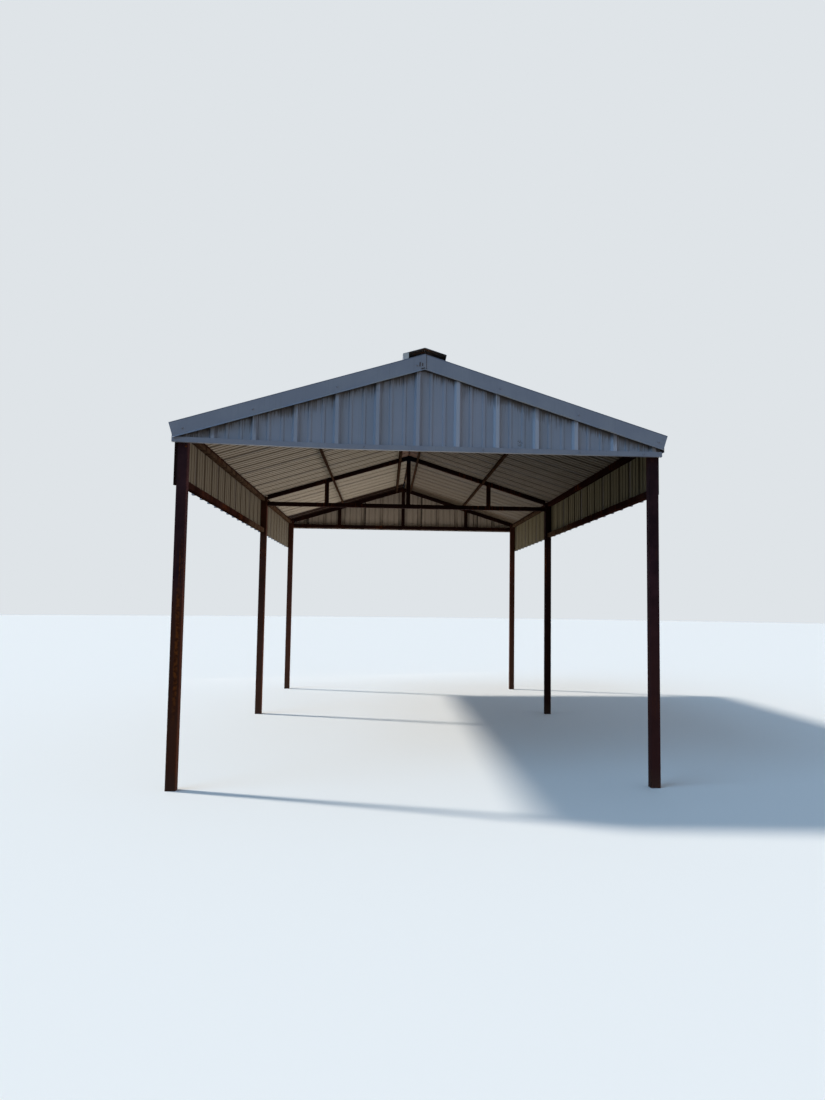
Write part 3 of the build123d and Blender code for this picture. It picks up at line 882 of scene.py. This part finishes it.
# The ridge vent: a folded cap over the slot at the ridge, painted outside like the flashings. Its
# inside is painted dark as the shade within the cap, and rusty along the crown. A tab closes part
# of the front end, pale as a painted sun glint, and a stop closes the rear end, so no daylight
# comes through.
vent_grey = "#6B7480"
vent_joint_and_shade_dark = "#171414"
vent_lit_underside = "#5E554C"
vent_shaded_wall = "#39404B"
vent_rust = "#7A4A22"
tab_pale_glint = "#C4C2BA"
vent_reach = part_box("ridge_vent")[1].y
vent_joint = 1.22
stop_back = 0.03
stop_foot = 0.154
stop_head = 0.163
stop_under = 0.0034
stop_up = 0.0002
vent_paint, tree, shader, place = new_material(
    "baked_polyester_on_ridge_vent", Metallic=0.0, IOR=1.5, Specular_IOR_Level=outside_shine)
axes = add(tree, "SeparateXYZ", {0: place})
facing = add(tree, "SeparateXYZ", {0: add(tree, "NewGeometry").outputs["True Normal"]})
side_on = add(tree, "Math", {0: axes.outputs[0]}, operation="SIGN")
outward = add(tree, "Math", {0: side_on, 1: facing.outputs[0], 2: facing.outputs[2]},
              operation="MULTIPLY_ADD")
is_outside = add(tree, "Math", {0: outward, 1: -0.1}, operation="GREATER_THAN")
cloud = add(tree, "TexNoise", {"Vector": place, "Scale": 1 / 0.2, "Detail": 5.0})
scuffed = add(tree, "MapRange", {0: cloud, 1: 0.45, 2: 0.75, 4: 0.6})
outside = add(tree, "Mix", {0: scuffed, 6: linear(vent_grey), 7: linear(flashing_scuff)},
              data_type="RGBA")

# Outside, dark joints between lengths. Inside, near black away from the open ends as painted
# shade; near the ends, lighter downward faces and darker blue-grey walls as painted light and
# shade, with rust along the crown
joint = add(tree, "Math", {0: axes.outputs[1], 1: vent_joint}, operation="PINGPONG")
joint = add(tree, "MapRange", {0: joint, 1: 0.004, 2: 0.002, 4: 0.8})
outside = add(tree, "Mix", {0: joint, 6: outside, 7: linear(vent_joint_and_shade_dark)}, data_type="RGBA")
patchy = add(tree, "TexNoise", {"Vector": place, "Scale": 1 / 0.05, "Detail": 4.0})
rusty = add(tree, "MapRange", {0: patchy, 1: 0.46, 2: 0.62})
depth = add(tree, "Math", {0: axes.outputs[1]}, operation="ABSOLUTE")
near_end = add(tree, "MapRange", {0: depth, 1: vent_reach - 0.13, 2: vent_reach - 0.03})
beneath = add(tree, "Math", {0: facing.outputs[2], 1: -0.7}, operation="LESS_THAN")
dust_and_light_tone = add(tree, "Mix", {0: beneath, 6: linear(vent_shaded_wall), 7: linear(vent_lit_underside)},
            data_type="RGBA")
inside = add(tree, "Mix", {0: near_end, 6: linear(vent_joint_and_shade_dark), 7: dust_and_light_tone}, data_type="RGBA")
crown = add(tree, "Math", {0: axes.outputs[0]}, operation="ABSOLUTE")
crown = add(tree, "MapRange", {0: crown, 1: 0.11, 2: 0.02})
rusty = add(tree, "Math", {0: rusty, 1: crown}, operation="MULTIPLY")
inside = add(tree, "Mix", {0: rusty, 6: inside, 7: linear(vent_rust)}, data_type="RGBA")
colour = add(tree, "Mix", {0: is_outside, 6: inside, 7: outside}, data_type="RGBA")
gloss = add(tree, "MapRange", {0: is_outside, 3: 0.8, 4: 0.45})
feed(tree, shader, Base_Color=colour, Roughness=gloss)

# Pale as a painted sun glint, with grey spots
tab_paint, tree, shader, place = new_material("steel_tab_with_painted_glint", Metallic=0.0, Roughness=0.6)
cloud = add(tree, "TexNoise", {"Vector": place, "Scale": 1 / 0.03, "Detail": 4.0})
spotted = add(tree, "MapRange", {0: cloud, 1: 0.5, 2: 0.8, 4: 0.5})
colour = add(tree, "Mix", {0: spotted, 6: linear(tab_pale_glint), 7: linear(flashing_grey)},
             data_type="RGBA")
feed(tree, shader, Base_Color=colour)
coat(nodes["ridge_vent"], vent_paint)
coat(nodes["ridge_vent_tab"], tab_paint)

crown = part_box("ridge_vent")[1].z - stop_under
head = [(x, crown - roof_pitch * abs(x)) for x in (-stop_head, 0.0, stop_head)]
foot = [(x, roof_level(x, rake_up) + stop_up) for x in (stop_foot, 0.0, -stop_foot)]
shape = bmesh.new()
plate(shape, [Vector((x, vent_reach - stop_back, z)) for x, z in head + foot],
      Vector((0, -cover_gauge, 0)))
bmesh.ops.recalc_face_normals(shape, faces=shape.faces)
joined(shape, "ridge_vent_stop", "flashing", vent_paint)


# Roofing screws: self-drilling screws with a painted hexagon head, a domed steel washer and a
# black rubber one, through the sheets beside the ribs and through the faces of the flashings.
washer_radius = 0.0075
rubber_thick = 0.0014
dome_thick = 0.0014
dome_in = 0.0004
head_radius = 0.0048
head_thick = 0.0042
rubber_black = "#141414"
beside = rib_foot / 2 + 0.013
purlin_row = 0.955
end_clear = 0.1
eave_screws = [-3.55 + 0.888 * each for each in range(9)]
eave_screw_up = 0.045
rake_top_screws = [0.24 + 0.305 * each for each in range(6)]
rake_top_in = 0.045
rake_screws = (-1.79, -1.28, -0.66, -0.06, 0.58, 1.19, 1.82)
rake_screw_down = 0.036
tie_screw_up = 0.012
tie_screw_reach = 1.62
trim_screws = (-0.45, 0.45, 1.2, 1.7)
trim_screw_up = 0.019

# Painted heads, chipped here and there to rust
screw_paint, tree, shader, place = new_material("painted_screw_head", Metallic=0.0, IOR=1.5,
                                                Roughness=0.45)
cloud = add(tree, "TexNoise", {"Vector": place, "Scale": 1 / 0.004, "Detail": 2.0})
chipped = add(tree, "MapRange", {0: cloud, 1: 0.55, 2: 0.7})
colour = add(tree, "Mix", {0: chipped, 6: linear(flashing_grey), 7: linear(rust_deep)},
             data_type="RGBA")
feed(tree, shader, Base_Color=colour)

# Black rubber, matt and a little uneven
black_rubber, tree, shader, place = new_material("black_rubber_washer", Metallic=0.0, IOR=1.5,
                                                 Base_Color=linear(rubber_black))
grain = add(tree, "TexNoise", {"Vector": place, "Scale": 1 / 0.002, "Detail": 2.0})
grain = add(tree, "MapRange", {0: grain, 3: 0.7, 4: 0.9})
feed(tree, shader, Roughness=grain)


def screw(mesh, place, out):
    """Adds one screw that stands on a face."""
    shape = bmesh.new()
    height = 0.0
    for corners, foot, top, thick, finish in (
            (12, washer_radius, washer_radius, rubber_thick, 1),
            (12, washer_radius - dome_in, head_radius, dome_thick, 0),
            (6, head_radius, head_radius, head_thick, 0)):
        made = bmesh.ops.create_cone(
            shape, cap_ends=True, segments=corners, radius1=foot, radius2=top, depth=thick,
            matrix=Matrix.Translation((0, 0, height + thick / 2)))
        for face in {face for v in made["verts"] for face in v.link_faces}:
            face.material_index = finish
        height += thick
    turn = Matrix.Rotation(random.uniform(0, math.tau), 4, "Z")
    stand = out.to_track_quat("Z", "Y").to_matrix().to_4x4()
    add_shape(mesh, shape, Matrix.Translation(place) @ stand @ turn)


def screws(name, slot, places):
    """Adds a piece of screws, each with its place and the way it faces."""
    mesh = bmesh.new()
    for place, out in places:
        screw(mesh, place, out)
    joined(mesh, name, slot, screw_paint, black_rubber)


for side_name, side in sides.items():
    facing_out = Vector((side, 0, 0))
    rail_low, rail_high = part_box(f"side_rail_{side_name}")
    face = side * (half_width + sheet_gauge)
    middle = (rail_low.z + rail_high.z) / 2
    places = []
    for k in range(ribs_along):
        y = side_ribs[side_name] + k * rib_pitch + beside
        if rail_low.y < y < rail_high.y:
            places.append((Vector((face, y, middle)), facing_out))
    low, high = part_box(f"eave_trim_{side_name}")
    face = high.x if side > 0 else low.x
    places += [(Vector((face, y, low.z + eave_screw_up)), facing_out) for y in eave_screws]
    screws(f"screws_side_{side_name}", "wall_sheet", places)

    up_off = slope_ways[side_name][1]
    places = []
    for x in (purlin_row, half_width - tube / 2):
        for k in range(1, ribs_along):
            y = roof_ribs[side_name] + side * (k * rib_pitch + beside)
            if abs(y) < half_length - end_clear:
                foot = Vector((side * x, y, roof_level(x)))
                places.append((foot + up_off * sheet_gauge, up_off))
    for end in gable_ends.values():
        for x in rake_top_screws:
            foot = Vector((side * x, end * (sheet_half_length - rake_top_in), roof_level(x)))
            places.append((foot + up_off * rake_up, up_off))
    screws(f"screws_roof_{side_name}", "roof_sheet", places)

for end_name, end in gable_ends.items():
    facing_out = Vector((0, end, 0))
    places = [(Vector((x, end * rake_outer, roof_level(x) - rake_screw_down)), facing_out)
              for x in rake_screws]
    if end > 0:
        tie_low, tie_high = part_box("tie_rear")
        row = (tie_low.z + tie_high.z) / 2 + tie_screw_up
        for k in range(-5, 6):
            x = gable_rib + k * rib_pitch + beside
            if abs(x) < tie_screw_reach:
                places.append((Vector((x, half_length + sheet_gauge, row)), facing_out))
    low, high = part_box(f"gable_trim_{end_name}")
    face = low.y if end < 0 else high.y
    places += [(Vector((x, face, low.z + trim_screw_up)), facing_out) for x in trim_screws]
    screws(f"screws_gable_{end_name}", "flashing", places)
